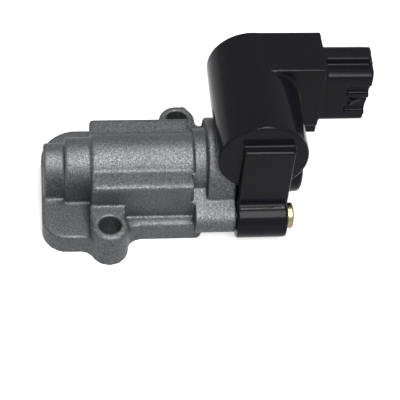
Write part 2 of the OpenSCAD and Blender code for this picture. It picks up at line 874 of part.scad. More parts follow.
valve_body();
mount_gasket();
rotary_valve();
valve_shaft();
rear_bearing_outer();
rear_bearing_inner();
rear_bearing_balls();
front_bearing_outer();
front_bearing_inner();
front_bearing_balls();
shaft_seal();
stop_plate();
stop_lever();
bimetal_coil();
magnet_hub();
rotor_magnet();
core_rod();
near_yoke();
far_yoke();
coil_bobbin();
coil_winding();
coil_cover();
cover_o_ring();
color(steel) terminal(0, 0);  // terminal_1
color(steel) terminal(1, 0);  // terminal_2
color(steel) terminal(2, 0);  // terminal_3
cover_screw(-1);  // cover_screw_near
cover_screw(1);  // cover_screw_far
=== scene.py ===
"""Finishes, soft edges and stage for an idle air control valve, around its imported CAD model."""

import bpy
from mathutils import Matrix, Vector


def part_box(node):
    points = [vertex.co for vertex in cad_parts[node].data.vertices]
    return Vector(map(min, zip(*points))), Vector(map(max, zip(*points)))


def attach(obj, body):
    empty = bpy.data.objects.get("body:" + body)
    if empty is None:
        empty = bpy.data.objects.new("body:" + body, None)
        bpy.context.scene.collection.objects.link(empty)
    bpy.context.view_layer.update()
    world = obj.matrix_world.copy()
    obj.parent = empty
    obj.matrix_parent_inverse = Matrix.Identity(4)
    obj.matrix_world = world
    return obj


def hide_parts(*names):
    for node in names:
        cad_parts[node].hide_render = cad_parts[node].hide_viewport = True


bl_info = {
    "name": "Idle Air Control Valve",
    "version": (1, 0, 0),
    "blender": (4, 5, 0),
    "location": "3D View > Sidebar > Valve",
    "description": "Dresses the packed model of an idle air control valve and sets its stage",
    "category": "Object",
}

import math

import bmesh
import bpy
from mathutils import Matrix, Vector

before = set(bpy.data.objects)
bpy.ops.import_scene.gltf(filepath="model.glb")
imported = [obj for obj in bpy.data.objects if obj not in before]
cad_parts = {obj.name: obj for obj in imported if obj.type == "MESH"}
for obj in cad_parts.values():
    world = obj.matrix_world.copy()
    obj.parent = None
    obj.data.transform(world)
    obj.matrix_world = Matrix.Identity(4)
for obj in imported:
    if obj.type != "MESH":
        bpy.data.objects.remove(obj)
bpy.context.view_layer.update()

MM = 0.001

# Corners of a CAD mesh that lie closer than this are one corner.
MERGE_DISTANCE = 0.002 * MM

# The sockets of a Mix node that works on colours; each shares its name with others on the node.
MIX_FACTOR, MIX_A, MIX_B = 0, 6, 7
MIX_RESULT = 2

# A Wave texture's phase grows by this much over one unit of its scaled coordinates.
WAVE_PHASE = 20

# Where the casting's rims are, in millimetres. A boss's top rim lies between two distances from the centre
# of its hole, and the others between two X, beyond a Y or above a Z.
PLATE_TOP = 7.2
HOLE_CENTRES = ((-11.5, -21.4), (11.5, 21.4))
BOSS_RIM = (4.1, 6.7)
BOSS_RIM_LOW = 11.2
LEDGE_RIM_LOW = 18.6
LEDGE_RIM_OUT = 12.6
BLOCK_STOP = 13.4
SLIT_ZONE = (13.2, 14.6)
NEAR_RIM_REACH = (-5.5, BLOCK_STOP)
NEAR_RIM_OUT = -15.2
NEAR_RIM_DEPTH = 2.2
PLATE_RIM_LEFT = -26.5
PLATE_RIM_OUT = 15.6
PLATE_RIM_DEPTH = 1.1

# How often each part of the cast skin is smoothed: the more often, the rounder its edges.
SLIT_SOFTNESS = 1
CAST_SOFTNESS = 3
PLATE_RIM_SOFTNESS = 14
LEDGE_RIM_SOFTNESS = 20
BOSS_RIM_SOFTNESS = 26
NEAR_RIM_SOFTNESS = 60

# The same for the moulding and, beyond an X and a Y in millimetres, for the far corner of its mouth.
MOULD_SOFTNESS = 2
MOUTH_SOFTNESS = 36
MOUTH_CORNER = (67.2, 23.6)

# The bead's flat faces are joined below the first angle, its edges are rounded above the second and shaded
# sharp above the third, in degrees.
FLAT_ANGLE = 0.5
EDGE_ANGLE = 30
SHARP_ANGLE = 35

# Facets round half a turn of the bore's cutters.
HALF_TURN_STEPS = 64

# Reaches along the bore, in millimetres, of the forms that this script cuts from the casting or adds to it.
# They end a little past or short of the casting's own faces, so that no two faces lie in one plane.
BLOCK_END = (12.6, 13.7)
SLIT = (13.5, 14.3)
RING_START = (17.4, 18.05)
NOTCH = (-17.3, -14.6)
GUSSET = (14.25, 18.1)
SHOULDER = (18.05, 26.55)
LEDGE_END = (12.4, 13.45)

# Sections of the added forms on the far side of the bore, as (Y, Z) in millimetres.
GUSSET_SECTION = ((10.2, 8.1), (10.2, 15.3), (10.4, 15.35), (17.48, 12.45), (17.48, 8.1))
SHOULDER_SECTION = (
    (10.4, 8.1),
    (12.2, 21.2),
    (12.35, 21.2),
    (14.1, 13.8),
    (17.48, 12.45),
    (15.7, 8.1),
)
LEDGE_SECTION = ((8.2, 15.35), (14.25, 15.35), (14.25, 20.35), (8.2, 20.35))

# The floor lies this far under the mounting face, so that the two don't share a plane.
FLOOR_GAP = 0.1 * MM
FLOOR_HALF = 1.5

# Each lamp's place, the side of its square in metres, and its share of the key light's power.
LAMPS = {
    "key_lamp": ((0.08, -0.36, 0.56), 0.4, 0.78),
    "top_lamp": ((0.09, 0.03, 0.66), 0.14, 0.3),
}
LAMP_AIM = (0.01, 0, 0.02)

# The camera: its place, and which way the picture's right, down and depth point.
CAMERA_PLACE = (-0.03112, -0.28583, 0.33616)
PICTURE_RIGHT = Vector((0.9937, -0.0858, 0.0722))
PICTURE_DOWN = Vector((-0.0189, -0.7627, -0.6465))
PICTURE_DEPTH = Vector((0.1105, 0.6411, -0.7595))
LENS_MM = 127.15
SENSOR_MM = 36


def linear(code):
    """An sRGB hex value as linear red, green, blue and alpha."""
    parts = [int(code[i : i + 2], 16) / 255 for i in (1, 3, 5)]
    return [p / 12.92 if p <= 0.04045 else ((p + 0.055) / 1.055) ** 2.4 for p in parts] + [1.0]


def per_mm(size):
    """The texture scale at which a pattern repeats about every so many millimetres."""
    return 1 / (size * MM)


def add_node(tree, kind, inputs=None, settings=None, stops=()):
    """A node with its inputs, as values or links from sockets, its settings and a ramp's stops."""
    node = tree.nodes.new(kind)
    for name, value in (settings or {}).items():
        setattr(node, name, value)
    for name, value in (inputs or {}).items():
        if isinstance(value, bpy.types.NodeSocket):
            tree.links.new(value, node.inputs[name])
        else:
            node.inputs[name].default_value = value
    while stops and len(node.color_ramp.elements) < len(stops):
        node.color_ramp.elements.new(0.5)
    for index, (position, code) in enumerate(stops):
        node.color_ramp.elements[index].position = position
        node.color_ramp.elements[index].color = linear(code)
    return node


def new_finish(name, values):
    """A material with one Principled shader: the material, its tree, the shader and its coordinates."""
    material = bpy.data.materials.new(name)
    material.use_nodes = True
    tree = material.node_tree
    tree.nodes.clear()
    shader = add_node(tree, "ShaderNodeBsdfPrincipled", values)
    add_node(tree, "ShaderNodeOutputMaterial", {"Surface": shader.outputs["BSDF"]})
    place = add_node(tree, "ShaderNodeTexCoord").outputs["Object"]
    return material, tree, shader, place


def surface(tree, shader, colour, dullness, reliefs=()):
    """Gives a shader its colour, its roughness and its reliefs.

    dullness is a pattern, the two values of it that count and the roughness at each. A relief is a
    pattern, its height in millimetres and its strength, and each lies on the one before.
    """
    tree.links.new(colour, shader.inputs["Base Color"])
    pattern, low, high, at_low, at_high = dullness
    roughness = add_node(
        tree,
        "ShaderNodeMapRange",
        {
            "Value": pattern,
            "From Min": low,
            "From Max": high,
            "To Min": at_low,
            "To Max": at_high,
        },
    )
    tree.links.new(roughness.outputs["Result"], shader.inputs["Roughness"])
    below = {}
    for height, depth, strength in reliefs:
        bump = add_node(
            tree,
            "ShaderNodeBump",
            {"Height": height, "Distance": depth * MM, "Strength": strength, **below},
        )
        below = {"Normal": bump.outputs["Normal"]}
        tree.links.new(bump.outputs["Normal"], shader.inputs["Normal"])


def lines_along(tree, place, size, stretch, detail=2.0, rough=0.6):
    """Fine lines that run one way, as a tool or the flow in a mould leaves them."""
    drawn_out = add_node(tree, "ShaderNodeMapping", {"Vector": place, "Scale": stretch})
    return add_node(
        tree,
        "ShaderNodeTexNoise",
        {
            "Vector": drawn_out.outputs["Vector"],
            "Scale": per_mm(size),
            "Detail": detail,
            "Roughness": rough,
        },
    ).outputs["Fac"]


def turned_rings(tree, place, spacing, axis_height):
    """Rings round the bore axis, as a lathe tool leaves them on faces square to it."""
    centred = add_node(
        tree, "ShaderNodeMapping", {"Vector": place, "Location": (0, 0, -axis_height)}
    )
    return add_node(
        tree,
        "ShaderNodeTexWave",
        {
            "Vector": centred.outputs["Vector"],
            "Scale": math.tau / WAVE_PHASE * per_mm(spacing),
            "Distortion": 0.4,
            "Detail": 1.0,
        },
        {"wave_type": "RINGS", "rings_direction": "X"},
    ).outputs["Fac"]


# Cast aluminium, shot blasted: an even grey, matt and grainy, that sparkles where the light strikes it.
# The grain is drawn coarser than blasting leaves it, so that it shows.
def cast_aluminium(look):
    material, tree, shader, place = new_finish("Blasted cast aluminium", {"Metallic": 1.0})
    grain = add_node(
        tree,
        "ShaderNodeTexNoise",
        {"Vector": place, "Scale": 1 / look.grain_size, "Detail": 3.0, "Roughness": 0.65},
    ).outputs["Fac"]
    specks = add_node(
        tree,
        "ShaderNodeTexNoise",
        {"Vector": place, "Scale": 1 / (1.4 * look.grain_size), "Detail": 1.0, "Roughness": 0.4},
    ).outputs["Fac"]
    cloud = add_node(
        tree,
        "ShaderNodeTexNoise",
        {"Vector": place, "Scale": per_mm(9.0), "Detail": 3.0, "Roughness": 0.55},
    ).outputs["Fac"]
    skin = add_node(
        tree,
        "ShaderNodeValToRGB",
        {"Fac": grain},
        stops=[(0.3, "#393a3a"), (0.5, "#4e4f50"), (0.72, "#6b6c6d")],
    )
    drift = add_node(
        tree, "ShaderNodeValToRGB", {"Fac": cloud}, stops=[(0.3, "#eeeeef"), (0.7, "#ffffff")]
    )
    drifting = add_node(
        tree,
        "ShaderNodeMix",
        {MIX_FACTOR: 1.0, MIX_A: skin.outputs["Color"], MIX_B: drift.outputs["Color"]},
        {"data_type": "RGBA", "blend_type": "MULTIPLY"},
    )
    tinted = add_node(
        tree,
        "ShaderNodeMix",
        {
            MIX_FACTOR: 1.0,
            MIX_A: drifting.outputs[MIX_RESULT],
            MIX_B: (*look.cast_colour, 1.0),
        },
        {"data_type": "RGBA", "blend_type": "MULTIPLY"},
    )
    surface(
        tree,
        shader,
        tinted.outputs[MIX_RESULT],
        (specks, 0.35, 0.65, 0.52, 0.64),
        [(cloud, 0.12, 0.2), (grain, 0.09, 0.9)],
    )
    return material


# Black nylon with glass fibre, moulded in a polished tool: deep black with a clear sheen and slight
# unevenness from its flow. The fibres are drawn coarser than they are, so that they show.
def black_nylon(look):
    material, tree, shader, place = new_finish(
        "Moulded black nylon", {"IOR": 1.53, "Specular IOR Level": 0.045}
    )
    flow = lines_along(tree, place, 7.0, (1.0, 0.5, 0.35), detail=3.0, rough=0.5)
    fibre = add_node(
        tree,
        "ShaderNodeTexNoise",
        {"Vector": place, "Scale": per_mm(0.45), "Detail": 2.0, "Roughness": 0.6},
    ).outputs["Fac"]
    speckle = add_node(
        tree, "ShaderNodeValToRGB", {"Fac": fibre}, stops=[(0.3, "#08080b"), (0.7, "#0e0e12")]
    )
    tinted = add_node(
        tree,
        "ShaderNodeMix",
        {MIX_FACTOR: 0.6, MIX_A: speckle.outputs["Color"], MIX_B: (*look.nylon_colour, 1.0)},
        {"data_type": "RGBA"},
    )
    surface(
        tree,
        shader,
        tinted.outputs[MIX_RESULT],
        (fibre, 0.3, 0.7, 0.13, 0.2),
        [(flow, 0.1, 0.25), (fibre, 0.008, 0.5)],
    )
    return material


# Nitrile rubber, pressed in a mould: soft black, dull, with a faint bloom.
def nitrile_rubber():
    material, tree, shader, place = new_finish("Moulded nitrile rubber", {"IOR": 1.52})
    bloom = add_node(
        tree,
        "ShaderNodeTexNoise",
        {"Vector": place, "Scale": per_mm(3.0), "Detail": 4.0, "Roughness": 0.6},
    ).outputs["Fac"]
    grain = add_node(
        tree,
        "ShaderNodeTexNoise",
        {"Vector": place, "Scale": per_mm(0.5), "Detail": 2.0, "Roughness": 0.5},
    ).outputs["Fac"]
    colour = add_node(
        tree, "ShaderNodeValToRGB", {"Fac": bloom}, stops=[(0.35, "#121213"), (0.7, "#232425")]
    ).outputs["Color"]
    surface(tree, shader, colour, (bloom, 0.3, 0.7, 0.48, 0.62), [(grain, 0.02, 0.4)])
    return material


# Aluminium, turned: bright and even, with the tool's rings on its ends and its marks round its sides.
# Both are drawn coarser than a tool leaves them, so that they show.
def turned_aluminium(look):
    material, tree, shader, place = new_finish("Turned aluminium", {"Metallic": 1.0})
    rings = turned_rings(tree, place, 3.142, look.axis_height)
    turns = lines_along(tree, place, 0.4, (1.0, 0.02, 0.02))
    colour = add_node(
        tree, "ShaderNodeValToRGB", {"Fac": turns}, stops=[(0.3, "#c0c1c3"), (0.7, "#dfe0e1")]
    ).outputs["Color"]
    surface(
        tree,
        shader,
        colour,
        (turns, 0.3, 0.7, 0.2, 0.34),
        [(rings, 0.01, 0.3), (turns, 0.01, 0.4)],
    )
    return material


# Hardened steel, ground: dark bright grey with fine lines round the axis, drawn coarser than a wheel
# leaves them, so that they show.
def ground_steel():
    material, tree, shader, place = new_finish("Ground steel", {"Metallic": 1.0})
    lines = lines_along(tree, place, 0.3, (1.0, 0.02, 0.02))
    colour = add_node(
        tree, "ShaderNodeValToRGB", {"Fac": lines}, stops=[(0.3, "#a3a6aa"), (0.7, "#c3c6ca")]
    ).outputs["Color"]
    surface(tree, shader, colour, (lines, 0.3, 0.7, 0.16, 0.28), [(lines, 0.006, 0.4)])
    return material


# Bearing steel, honed: a little bluer than the shaft, with rings on its faces that are drawn coarser
# than honing leaves them, so that they show.
def bearing_steel(look):
    material, tree, shader, place = new_finish("Honed bearing steel", {"Metallic": 1.0})
    rings = turned_rings(tree, place, 1.885, look.axis_height)
    colour = add_node(
        tree, "ShaderNodeValToRGB", {"Fac": rings}, stops=[(0.2, "#9a9ea4"), (0.8, "#b9bdc3")]
    ).outputs["Color"]
    surface(tree, shader, colour, (rings, 0.0, 1.0, 0.15, 0.25), [(rings, 0.004, 0.3)])
    return material


# Polished bearing balls: a mirror with a breath of haze.
def ball_steel():
    material, tree, shader, place = new_finish("Polished ball steel", {"Metallic": 1.0})
    haze = add_node(
        tree,
        "ShaderNodeTexNoise",
        {"Vector": place, "Scale": per_mm(1.2), "Detail": 2.0, "Roughness": 0.5},
    ).outputs["Fac"]
    colour = add_node(
        tree, "ShaderNodeValToRGB", {"Fac": haze}, stops=[(0.3, "#c9ccd0"), (0.7, "#dfe2e5")]
    ).outputs["Color"]
    surface(tree, shader, colour, (haze, 0.3, 0.7, 0.05, 0.1))
    return material


# Steel sheet, punched and zinc plated: pale, with soft spangle.
def zinc_sheet():
    material, tree, shader, place = new_finish("Zinc-plated steel sheet", {"Metallic": 1.0})
    cells = add_node(tree, "ShaderNodeTexVoronoi", {"Vector": place, "Scale": per_mm(1.6)})
    spangle = add_node(
        tree,
        "ShaderNodeMix",
        {MIX_FACTOR: 0.12, MIX_A: linear("#b2b5b9"), MIX_B: cells.outputs["Color"]},
        {"data_type": "RGBA"},
    )
    fine = add_node(
        tree,
        "ShaderNodeTexNoise",
        {"Vector": place, "Scale": per_mm(0.6), "Detail": 3.0, "Roughness": 0.6},
    ).outputs["Fac"]
    surface(
        tree, shader, spangle.outputs[MIX_RESULT], (fine, 0.3, 0.7, 0.3, 0.44), [(fine, 0.01, 0.3)]
    )
    return material


# Bimetal strip, rolled: warm grey with lengthwise rolling lines, drawn coarser than rolls leave them,
# so that they show.
def bimetal_strip():
    material, tree, shader, place = new_finish("Rolled bimetal strip", {"Metallic": 1.0})
    lines = lines_along(tree, place, 0.3, (1.0, 0.04, 0.04))
    colour = add_node(
        tree, "ShaderNodeValToRGB", {"Fac": lines}, stops=[(0.3, "#9b8f7c"), (0.7, "#b9ae99")]
    ).outputs["Color"]
    surface(tree, shader, colour, (lines, 0.3, 0.7, 0.28, 0.4), [(lines, 0.006, 0.4)])
    return material


# Natural nylon, moulded: creamy, dull and slightly see-through at the skin.
def cream_nylon():
    material, tree, shader, place = new_finish(
        "Moulded cream nylon",
        {"IOR": 1.53, "Subsurface Weight": 0.15, "Subsurface Scale": 0.6 * MM},
    )
    cloud = add_node(
        tree,
        "ShaderNodeTexNoise",
        {"Vector": place, "Scale": per_mm(4.0), "Detail": 3.0, "Roughness": 0.5},
    ).outputs["Fac"]
    grain = add_node(
        tree,
        "ShaderNodeTexNoise",
        {"Vector": place, "Scale": per_mm(0.5), "Detail": 2.0, "Roughness": 0.5},
    ).outputs["Fac"]
    colour = add_node(
        tree, "ShaderNodeValToRGB", {"Fac": cloud}, stops=[(0.3, "#d3cbb2"), (0.7, "#e2dcc6")]
    ).outputs["Color"]
    surface(tree, shader, colour, (cloud, 0.3, 0.7, 0.42, 0.54), [(grain, 0.01, 0.4)])
    return material


# Sintered ferrite: dark grey and stony, with pores drawn coarser than they are, so that they show.
def ferrite():
    material, tree, shader, place = new_finish("Sintered ferrite", {"IOR": 2.3})
    pores = add_node(
        tree,
        "ShaderNodeTexNoise",
        {"Vector": place, "Scale": per_mm(0.4), "Detail": 4.0, "Roughness": 0.7},
    ).outputs["Fac"]
    colour = add_node(
        tree, "ShaderNodeValToRGB", {"Fac": pores}, stops=[(0.35, "#232326"), (0.65, "#3a3a3e")]
    ).outputs["Color"]
    surface(tree, shader, colour, (pores, 0.3, 0.7, 0.45, 0.6), [(pores, 0.03, 0.5)])
    return material


# Soft iron, drawn and annealed: dull grey with darker oxide patches.
def soft_iron():
    material, tree, shader, place = new_finish("Annealed soft iron", {"Metallic": 1.0})
    oxide = add_node(
        tree,
        "ShaderNodeTexNoise",
        {"Vector": place, "Scale": per_mm(3.0), "Detail": 4.0, "Roughness": 0.6},
    ).outputs["Fac"]
    grain = add_node(
        tree,
        "ShaderNodeTexNoise",
        {"Vector": place, "Scale": per_mm(0.5), "Detail": 3.0, "Roughness": 0.5},
    ).outputs["Fac"]
    colour = add_node(
        tree, "ShaderNodeValToRGB", {"Fac": oxide}, stops=[(0.35, "#77787b"), (0.65, "#9b9ca0")]
    ).outputs["Color"]
    surface(tree, shader, colour, (oxide, 0.3, 0.7, 0.38, 0.52), [(grain, 0.02, 0.4)])
    return material


# Enamelled copper wire: red brown and lacquered, turns lying side by side along the coil, with painted
# shade in the grooves between the turns. The turns are drawn wider than the wire, so that they show.
def enamelled_copper():
    material, tree, shader, place = new_finish(
        "Enamelled copper wire", {"Metallic": 1.0, "Coat Weight": 0.6, "Coat Roughness": 0.12}
    )
    turns = add_node(
        tree,
        "ShaderNodeTexWave",
        {"Vector": place, "Scale": math.tau / WAVE_PHASE * per_mm(2.199), "Distortion": 0.2},
        {"wave_type": "BANDS", "bands_direction": "Y"},
    ).outputs["Fac"]
    # Painted shade: the colour darkens into the grooves between the turns, where the relief sinks.
    colour = add_node(
        tree, "ShaderNodeValToRGB", {"Fac": turns}, stops=[(0.1, "#6e3016"), (0.6, "#b0643a")]
    ).outputs["Color"]
    surface(tree, shader, colour, (turns, 0.0, 1.0, 0.4, 0.28), [(turns, 0.12, 0.8)])
    return material


# Brass blade, tinned: soft white metal with wiping marks along the blade, drawn coarser than a plug
# leaves them, so that they show.
def tinned_brass():
    material, tree, shader, place = new_finish("Tinned brass", {"Metallic": 1.0})
    wipes = lines_along(tree, place, 0.3, (0.05, 1.0, 1.0))
    colour = add_node(
        tree, "ShaderNodeValToRGB", {"Fac": wipes}, stops=[(0.3, "#bdb9ad"), (0.7, "#dcdad2")]
    ).outputs["Color"]
    surface(tree, shader, colour, (wipes, 0.3, 0.7, 0.22, 0.36), [(wipes, 0.006, 0.4)])
    return material


# Steel screw, zinc plated and yellow passivated: dull gold that drifts towards olive and brown.
def yellow_zinc(look):
    material, tree, shader, place = new_finish("Yellow passivated zinc", {"Metallic": 1.0})
    drift = add_node(
        tree,
        "ShaderNodeTexNoise",
        {"Vector": place, "Scale": per_mm(2.5), "Detail": 2.0, "Roughness": 0.5},
    ).outputs["Fac"]
    fine = add_node(
        tree,
        "ShaderNodeTexNoise",
        {"Vector": place, "Scale": per_mm(0.4), "Detail": 2.0, "Roughness": 0.5},
    ).outputs["Fac"]
    passivation = add_node(
        tree,
        "ShaderNodeValToRGB",
        {"Fac": drift},
        stops=[(0.3, "#716c53"), (0.45, "#7e785a"), (0.58, "#837a60"), (0.72, "#767265")],
    )
    tinted = add_node(
        tree,
        "ShaderNodeMix",
        {
            MIX_FACTOR: 1.0,
            MIX_A: passivation.outputs["Color"],
            MIX_B: (*look.zinc_colour, 1.0),
        },
        {"data_type": "RGBA", "blend_type": "MULTIPLY"},
    )
    surface(
        tree, shader, tinted.outputs[MIX_RESULT], (drift, 0.3, 0.7, 0.24, 0.36), [(fine, 0.01, 0.3)]
    )
    return material


# White paper, calendered: plain and matt, and it takes the object's soft shadow.
def floor_paper(look):
    material, tree, shader, place = new_finish(
        "White floor paper", {"Roughness": 0.9, "Specular IOR Level": 0.2}
    )
    fibre = add_node(
        tree,
        "ShaderNodeTexNoise",
        {"Vector": place, "Scale": per_mm(2.0), "Detail": 3.0, "Roughness": 0.6},
    ).outputs["Fac"]
    tone = add_node(
        tree, "ShaderNodeValToRGB", {"Fac": fibre}, stops=[(0.3, "#f7f7f7"), (0.7, "#fbfbfb")]
    )
    tree.links.new(tone.outputs["Color"], shader.inputs["Base Color"])
    glow = add_node(tree, "ShaderNodeEmission", {"Color": linear("#ffffff"), "Strength": 1.0})
    share = add_node(
        tree,
        "ShaderNodeMath",
        {0: background_rays(tree), 1: look.floor_glow},
        {"operation": "MULTIPLY"},
    )
    mixed = add_node(
        tree,
        "ShaderNodeMixShader",
        {0: share.outputs["Value"], 1: shader.outputs["BSDF"], 2: glow.outputs["Emission"]},
    )
    output = next(node for node in tree.nodes if node.type == "OUTPUT_MATERIAL")
    tree.links.new(mixed.outputs["Shader"], output.inputs["Surface"])
    return material


def background_rays(tree):
    """1 for the rays that see the white background: camera, glossy and transmission rays."""
    rays = add_node(tree, "ShaderNodeLightPath").outputs
    either = add_node(
        tree,
        "ShaderNodeMath",
        {0: rays["Is Camera Ray"], 1: rays["Is Glossy Ray"]},
        {"operation": "MAXIMUM"},
    )
    return add_node(
        tree,
        "ShaderNodeMath",
        {0: either.outputs["Value"], 1: rays["Is Transmission Ray"]},
        {"operation": "MAXIMUM"},
    ).outputs["Value"]


def dress(names, material):
    """Gives CAD nodes their finish."""
    for name in names:
        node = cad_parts[name]
        if len(node.material_slots) == 0:
            node.data.materials.append(None)
        for slot in node.material_slots:
            slot.link = "OBJECT"
            slot.material = material


def merged_copy(node):
    """A CAD node's mesh with its loose triangles joined."""
    shape = bmesh.new()
    shape.from_mesh(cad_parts[node].data)
    bmesh.ops.remove_doubles(shape, verts=shape.verts, dist=MERGE_DISTANCE)
    return shape


def working_object(name, shape):
    """An object in the scene made from a bmesh."""
    mesh = bpy.data.meshes.new(name)
    shape.to_mesh(mesh)
    shape.free()
    obj = bpy.data.objects.new(name, mesh)
    bpy.context.scene.collection.objects.link(obj)
    return obj


def rounded_copy(node, piece, width, segments):
    """A copy of a CAD node whose sharp edges are round, as a mould leaves them."""
    shape = merged_copy(node)
    bmesh.ops.dissolve_limit(
        shape,
        angle_limit=math.radians(FLAT_ANGLE),
        use_dissolve_boundaries=False,
        verts=shape.verts,
        edges=shape.edges,
        delimit={"NORMAL"},
    )
    sharp = [
        edge
        for edge in shape.edges
        if len(edge.link_faces) == 2 and edge.calc_face_angle() > math.radians(EDGE_ANGLE)
    ]
    bmesh.ops.bevel(
        shape,
        geom=sharp,
        offset=width,
        offset_type="OFFSET",
        affect="EDGES",
        segments=segments,
        profile=0.5,
        material=-1,
        clamp_overlap=False,
    )
    obj = working_object(piece, shape)
    obj.data.shade_smooth()
    obj.data.set_sharp_from_angle(angle=math.radians(SHARP_ANGLE))
    return obj


def along_bore(left, right, section):
    """A prism along the bore from one X to another, its section given as (Y, Z), in millimetres."""
    shape = bmesh.new()
    end = shape.faces.new([shape.verts.new(Vector((left, y, z)) * MM) for y, z in section])
    grown = bmesh.ops.extrude_face_region(shape, geom=[end], use_keep_orig=True)
    moved = [item for item in grown["geom"] if isinstance(item, bmesh.types.BMVert)]
    bmesh.ops.translate(shape, vec=((right - left) * MM, 0, 0), verts=moved)
    bmesh.ops.recalc_face_normals(shape, faces=shape.faces)
    return shape


def box_section(near, far, low, high):
    """The four (Y, Z) corners of a box's section."""
    return [(near, low), (far, low), (far, high), (near, high)]


def over_bore(left, right, inner, outer, axis_height):
    """The upper half of a ring round the bore, from one X to another and between two radii."""
    shape = bmesh.new()
    corners = ((left, inner), (right, inner), (right, outer), (left, outer))
    start = [shape.verts.new(Vector((x, -radius, 0)) * MM) for x, radius in corners]
    shape.faces.new(start)
    bmesh.ops.spin(
        shape,
        geom=shape.verts[:] + shape.edges[:] + shape.faces[:],
        axis=(1, 0, 0),
        cent=(0, 0, 0),
        angle=-math.pi,
        steps=HALF_TURN_STEPS,
    )
    bmesh.ops.translate(shape, vec=(0, 0, axis_height), verts=shape.verts)
    bmesh.ops.holes_fill(shape, edges=shape.edges, sides=4)
    bmesh.ops.recalc_face_normals(shape, faces=shape.faces)
    return shape


def settle(obj):
    """Makes an object's modifiers its mesh."""
    graph = bpy.context.evaluated_depsgraph_get()
    mesh = bpy.data.meshes.new_from_object(obj.evaluated_get(graph), depsgraph=graph)
    obj.modifiers.clear()
    obj.data = mesh


def cut_out(obj, tool):
    """Cuts a solid out of an object."""
    cutter = working_object("cutter", tool)
    cut = obj.modifiers.new("cut", "BOOLEAN")
    cut.operation = "DIFFERENCE"
    cut.solver = "EXACT"
    cut.object = cutter
    settle(obj)
    bpy.data.objects.remove(cutter)


def join_to(obj, solids):
    """Adds closed solids to an object's mesh; the remesh in soften makes them one skin."""
    shape = bmesh.new()
    shape.from_mesh(obj.data)
    for solid in solids:
        mesh = bpy.data.meshes.new("added")
        solid.to_mesh(mesh)
        solid.free()
        shape.from_mesh(mesh)
        bpy.data.meshes.remove(mesh)
    shape.to_mesh(obj.data)
    shape.free()


def rim_softness(point):
    """How often the cast skin is smoothed at a point in millimetres: most along its worn rims."""
    off_boss = min(math.hypot(point.x - x, point.y - y) for x, y in HOLE_CENTRES)
    off_plate_top = abs(point.z - PLATE_TOP)
    out = abs(point.y)
    if SLIT_ZONE[0] < point.x < SLIT_ZONE[1]:
        return SLIT_SOFTNESS
    if point.z > BOSS_RIM_LOW and BOSS_RIM[0] < off_boss < BOSS_RIM[1]:
        return BOSS_RIM_SOFTNESS
    if point.z > LEDGE_RIM_LOW and out > LEDGE_RIM_OUT and point.x < BLOCK_STOP:
        return LEDGE_RIM_SOFTNESS
    along_near_rim = NEAR_RIM_REACH[0] < point.x < NEAR_RIM_REACH[1]
    if off_plate_top < NEAR_RIM_DEPTH and point.y < NEAR_RIM_OUT and along_near_rim:
        return NEAR_RIM_SOFTNESS
    if off_plate_top < PLATE_RIM_DEPTH and (out > PLATE_RIM_OUT or point.x < PLATE_RIM_LEFT):
        return PLATE_RIM_SOFTNESS
    return CAST_SOFTNESS


def mouth_softness(point):
    """How often the moulding is smoothed at a point in millimetres: most at the mouth's far corner."""
    if point.x > MOUTH_CORNER[0] and point.y > MOUTH_CORNER[1]:
        return MOUTH_SOFTNESS
    return MOULD_SOFTNESS


def soften(obj, step, softness, kept):
    """Makes an object one closed skin with rounded edges, smoothed at each point as often as asked."""
    remesh = obj.modifiers.new("skin", "REMESH")
    remesh.mode = "VOXEL"
    remesh.voxel_size = step
    settle(obj)
    shape = bmesh.new()
    shape.from_mesh(obj.data)
    turns = {vert: softness(vert.co / MM) for vert in shape.verts}
    done = 0
    for level in sorted(set(turns.values())):
        places = [vert for vert in shape.verts if turns[vert] >= level]
        for turn in range(level - done):
            bmesh.ops.smooth_vert(
                shape, verts=places, factor=0.5, use_axis_x=True, use_axis_y=True, use_axis_z=True
            )
        done = level
    bmesh.ops.recalc_face_normals(shape, faces=shape.faces)
    shape.to_mesh(obj.data)
    shape.free()
    fewer = obj.modifiers.new("fewer faces", "DECIMATE")
    fewer.ratio = kept
    settle(obj)
    obj.data.shade_smooth()


def place_piece(obj, material, body, slot, *replaced):
    """Gives a finished piece its material and its body, and hides the CAD nodes that it stands for."""
    obj.data.materials.append(material)
    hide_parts(*replaced)
    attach(obj, body)


